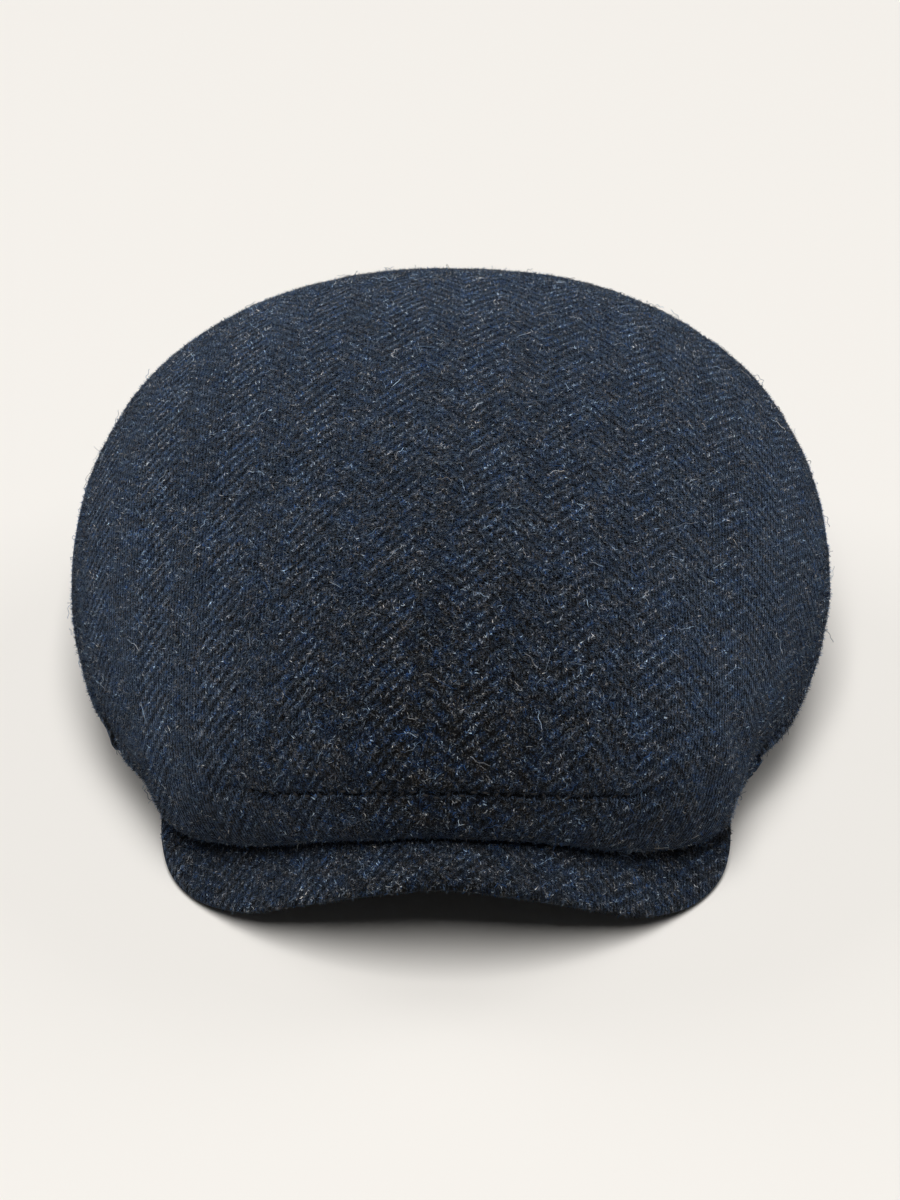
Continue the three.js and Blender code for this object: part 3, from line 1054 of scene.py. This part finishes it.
# %% Yarn colours
WARP_COLOURS = [(0.35, (0.007, 0.01, 0.016)), (0.5, (0.016, 0.022, 0.035)), (0.65, (0.028, 0.042, 0.075))]
WEFT_COLOURS = [(0.35, (0.001, 0.001, 0.0015)), (0.5, (0.002, 0.002, 0.0025)),
                (0.65, (0.008, 0.0075, 0.008))]
# Painted shade where the threads dip into the gaps between them.
GAP_PAINTED_SHADE = (0.001, 0.0013, 0.002, 1)
WARP_APART = 7.31
WEFT_APART = 7.77
ALONG_YARN = 0.5


def yarns(n, cloth):
    """The colour of the bare weave, with painted shade in the gaps between the threads."""
    warp = n.point(n.math("MULTIPLY", cloth.column, WARP_APART), n.math("MULTIPLY", cloth.along, ALONG_YARN))
    weft = n.point(n.math("MULTIPLY", cloth.across, ALONG_YARN), n.math("MULTIPLY", cloth.row, WEFT_APART))
    warp_colour = n.ramp(n.noise(warp, 1.0, 3.0), WARP_COLOURS)
    weft_colour = n.ramp(n.noise(weft, 1.0, 3.0), WEFT_COLOURS)
    colour = n.mix(cloth.lengthwise, weft_colour, warp_colour)
    return n.mix(n.fade(cloth.height, 0.7, 0.1), colour, GAP_PAINTED_SHADE)


# %% [markdown]
# Milling mats the surface, so a dark felt hides part of the weave, in some places more than in others. Its
# colour goes from brown through grey to blue with the heather.

# %% Felt
PATCH_COLOURS = [(0.0, (0.032, 0.03, 0.028)), (0.35, (0.027, 0.033, 0.038)), (0.7, (0.021, 0.033, 0.053)),
                 (1.0, (0.016, 0.037, 0.09))]
DEEP_FELT = (0.0012, 0.0018, 0.003, 1)
BLACK = (0, 0, 0, 1)


def felted(n, threads, colour, patch, fluff, felt):
    """Lays matted wool over a colour. felt is how much of it is hidden at most."""
    matted = n.mix(n.fade(fluff, 0.35, 0.62), DEEP_FELT, n.mix(0.65, patch, BLACK))
    hidden = n.noise(n.shift(threads, 5.0, 77.0), 0.35, 2.0)
    return n.mix(n.math("MULTIPLY", n.fade(hidden, 0.35, 0.6), felt), colour, matted)


# %% [markdown]
# On the felt lie thousands of single fibres that are too flat to show in the outline. As meshes they would
# be too many, so the shader draws them. The edges of a cell pattern are thin lines, a noise curls them, and
# another noise cuts them into short bits. Four layers run from dim and many to pale and few.

# %% Flat fibres
FLAT_FIBRES = {
    "dim": {"scale": 0.95, "width": 0.13, "share": 0.75, "seed": 1},
    "mid": {"scale": 0.75, "width": 0.12, "share": 0.6, "seed": 2},
    "grey": {"scale": 0.6, "width": 0.11, "share": 0.42, "seed": 3},
    "pale": {"scale": 0.45, "width": 0.1, "share": 0.2, "seed": 4},
}
MID_LIGHT = (1.9, 1.8, 1.7)
GREY_COLOUR = (0.1, 0.11, 0.13)
PALE_COLOUR = (0.26, 0.27, 0.28)
CURL_REACH = (2.2, 2.2, 0)


def fibre_lines(n, threads, scale, width, share, seed):
    """A mask that is 1 on thin curly lines. width is in threads, share how much of the cloth has them."""
    spot = n.shift(threads, seed * 11.7, seed * 5.3)
    curled = n.push(spot, n.noise(spot, 1.1, 1.0, output="Color"), CURL_REACH)
    cells = n.add("ShaderNodeTexVoronoi", {"voronoi_dimensions": "2D", "feature": "DISTANCE_TO_EDGE"},
                  Vector=curled, Scale=scale)
    thin = n.fade(cells.outputs["Distance"], width * scale, width * scale * 0.4)
    bits = n.noise(n.shift(threads, seed * 3.9, seed * 17.1), scale * 1.1, 1.0)
    cut = 0.7 - share * 0.4
    return n.math("MULTIPLY", thin, n.fade(bits, cut - 0.03, cut + 0.03))


def lit(colour, light):
    """A colour times a brightness."""
    return (*(part * light for part in colour), 1)


def with_fibres(n, cloth, colour, patch, lines, light):
    """Draws the four layers of lines over a colour. The dim ones fade in the hollows of the weave."""
    on_rib = n.math("MULTIPLY_ADD", cloth.height, 0.6, 0.4)
    brighter = n.mix(1.0, patch, lit(MID_LIGHT, light), "MULTIPLY")
    colour = n.mix(n.math("MULTIPLY", lines["dim"], on_rib), colour, patch)
    colour = n.mix(n.math("MULTIPLY", lines["mid"], on_rib), colour, brighter)
    colour = n.mix(n.math("MULTIPLY", lines["grey"], 0.9), colour, lit(GREY_COLOUR, light))
    return n.mix(lines["pale"], colour, lit(PALE_COLOUR, light))


# %% [markdown]
# Light and shade in the weave are far smaller than a face, so they are painted into the colour: painted light
# on the ribs and painted shade in the grooves between threads. A fine grain and the heather change the wool's
# own tone, and the fibre cover number also paints shade into the stitched groove and onto the lip. A Bump node
# tilts the shading, which is lighter than real relief in the mesh.

# %% Shade and relief of the weave
# Painted light on the ribs and painted shade in the grooves between the threads.
RIB_CONTRAST = 0.45
COMB_CONTRAST = 0.2
RELIEF_DEPTH = 0.3 * MM


def shaded(n, cloth, colour, factors):
    """A colour with painted light on the ribs and painted shade between the threads, then times some factors.
    """
    value = n.math("MULTIPLY", n.math("MULTIPLY_ADD", cloth.rib, RIB_CONTRAST, 1),
                   n.math("MULTIPLY_ADD", cloth.comb, -COMB_CONTRAST, 1))
    for factor in factors:
        value = n.math("MULTIPLY", value, factor)
    return n.mix(1.0, colour, n.grey(value), "MULTIPLY")


def relief(n, cloth, fluff, grain, lines):
    """The normal of the rough surface."""
    lift = n.math("ADD", n.math("MULTIPLY", cloth.height, 0.6), n.math("MULTIPLY", fluff, 0.8))
    for part, share in ((cloth.rib, 0.5), (cloth.comb, -0.3), (grain, 0.3)):
        lift = n.math("MULTIPLY_ADD", part, share, lift)
    for line in lines.values():
        lift = n.math("MULTIPLY_ADD", line, 0.35, lift)
    return n.add("ShaderNodeBump", Strength=1.0, Distance=RELIEF_DEPTH, Height=lift).outputs[0]


# %% [markdown]
# Now the layers are put together into one material. The crown and the peak are cut from the same cloth, but
# the stretched cloth of the peak is more matted, a little brighter and less shiny.

# %% Wool materials
def wool_material(name, felt, light, sheen):
    """Milled herringbone wool. felt is how much the felt hides, light how bright the flat fibres are."""
    material, n, shader = new_wool(name)
    threads = count_threads(n, n.add("ShaderNodeUVMap", {"uv_map": "cloth"}).outputs[0])
    cloth = weave(n, threads)
    tone, hue = heather(n)
    patch = n.ramp(hue, PATCH_COLOURS)
    fluff = n.noise(threads, 2.6, 2.0, 0.6, 0.5)
    grain = n.fade(n.noise(n.shift(threads, 2.0, 41.0), 2.7, 1.0, 0.6), 0.36, 0.64, 0.15, 1.25)
    lines = {layer: fibre_lines(n, threads, **row) for layer, row in FLAT_FIBRES.items()}

    colour = felted(n, threads, yarns(n, cloth), patch, fluff, felt)
    colour = with_fibres(n, cloth, colour, patch, lines, light)
    # Grain and heather are the wool's own tone; the fibre cover number paints shade into the groove and onto
    # the lip.
    colour = shaded(n, cloth, colour, (grain, tone, n.attribute("cover").outputs["Fac"]))
    n.plug(shader.inputs["Base Color"], colour)
    n.plug(shader.inputs["Normal"], relief(n, cloth, fluff, grain, lines))
    shader.inputs["Roughness"].default_value = 0.9
    shader.inputs["Specular IOR Level"].default_value = 0.1
    give_sheen(shader, sheen)
    return material


crown_wool = wool_material("wool", 0.35, 0.95, 0.5)
peak_wool = wool_material("wool_peak", 0.5, 1.2, 0.2)
print("nodes in the wool shader:", len(crown_wool.node_tree.nodes))

# %% [markdown]
# The stitches are sewn with a dark thread. It is too small to show any pattern, so one plain colour does.

# %% Thread
thread_dye, _, thread_shader = new_wool("thread")
thread_shader.inputs["Base Color"].default_value = (0.003, 0.003, 0.004, 1)
thread_shader.inputs["Roughness"].default_value = 0.7
stitches.data.materials.append(thread_dye)
print("thread on", stitches.name)

# %% [markdown]
# Each piece gets its material, the CAD node that it stands for is hidden, and it is put on the body that
# it rides on. The cap has no joints, so everything rides on the root.

# %% Dressing the pieces
DRESSED = {"top_panel": top, "side_panel_left": left, "side_panel_right": right, "peak": peak}

for node, piece in DRESSED.items():
    piece.data.materials.clear()
    piece.data.materials.append(peak_wool if piece is peak else crown_wool)
    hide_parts(node)
for piece in (top, left, right, peak, stitches, *fuzz):
    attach(piece, "root")
print("pieces:", len(fuzz) + 5)
